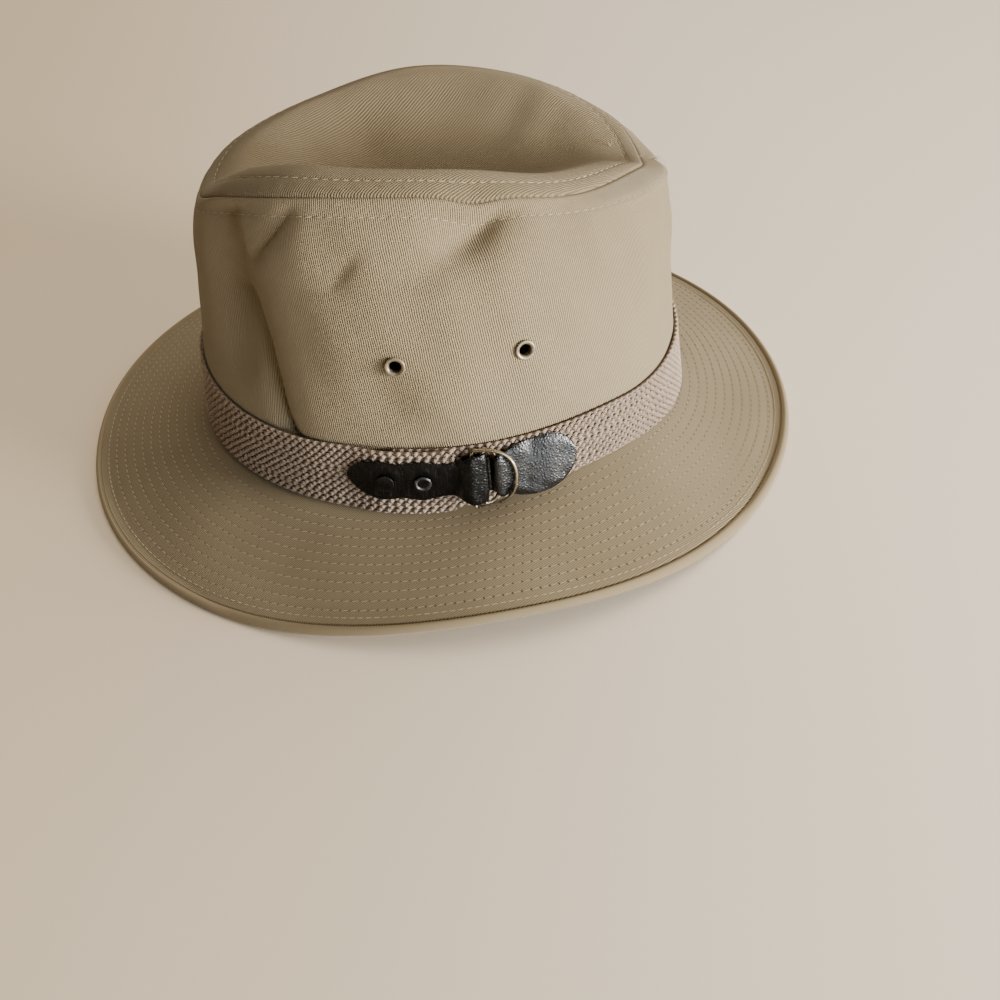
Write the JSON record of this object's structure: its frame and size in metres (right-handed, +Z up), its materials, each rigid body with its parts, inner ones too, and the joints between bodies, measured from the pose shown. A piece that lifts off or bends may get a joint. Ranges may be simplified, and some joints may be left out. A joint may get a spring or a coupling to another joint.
{
  "type": "fedora",
  "caption": "Khaki cotton twill fedora with a creased crown, stitched brim, webbing band and black leather strap through brass wire rings.",
  "frame": {"origin": "centre of the bounding box's lowest face, on the surface that the hat rests on", "axes": "+X from the front of the hat to its back, +Z up through the crown; the strap is on the -Y side"},
  "size_m": [0.306, 0.2746, 0.1337],
  "materials": {
    "brim_twill": "matte twill with stitch rows",
    "crown_twill": "matte twill",
    "webbing": "coarse woven",
    "black_leather": "satin, creased",
    "antique_brass": "aged satin",
    "black_metal": "gloss black",
    "eyelet_metal": "satin khaki"
  },
  "bodies": {
    "root": {"brim": "brim_twill", "crown_side": "crown_twill", "crown_tip": "crown_twill", "hat_band": "webbing", "strap_front": "black_leather", "strap_back": "black_leather", "ring_outer": "antique_brass", "ring_inner": "antique_brass", "rivet_front": "black_metal", "rivet_back": "black_metal", "eyelet_1": "eyelet_metal", "eyelet_2": "eyelet_metal", "eyelet_3": "eyelet_metal", "eyelet_4": "eyelet_metal"}
  },
  "joints": []
}
